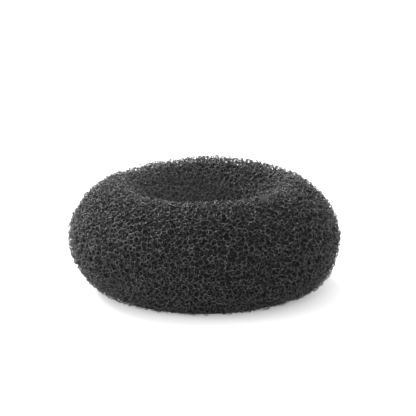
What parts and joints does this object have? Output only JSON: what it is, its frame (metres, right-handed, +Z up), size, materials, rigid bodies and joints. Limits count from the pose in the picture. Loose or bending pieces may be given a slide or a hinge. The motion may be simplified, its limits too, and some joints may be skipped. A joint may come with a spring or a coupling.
{
  "type": "hair donut bun maker",
  "caption": "Soft ring of open net sponge with a wide centre hole, worn on the head to shape a hair bun: a ponytail goes through the hole and the hair is spread over the ring.",
  "frame": {"origin": "middle of the ring's bounding box on the plane of its foot, in the middle of the hole", "axes": "+Z up along the hole, away from the surface that the ring lies on; -Y towards the picture's camera; the ring is round, so X and Y follow the picture only"},
  "size_m": [0.088, 0.088, 0.037],
  "materials": {
    "sponge_net": "matt black open net sponge with a faint sheen on its strands"
  },
  "bodies": {
    "root": {"net_ring": "sponge_net"}
  },
  "joints": []
}
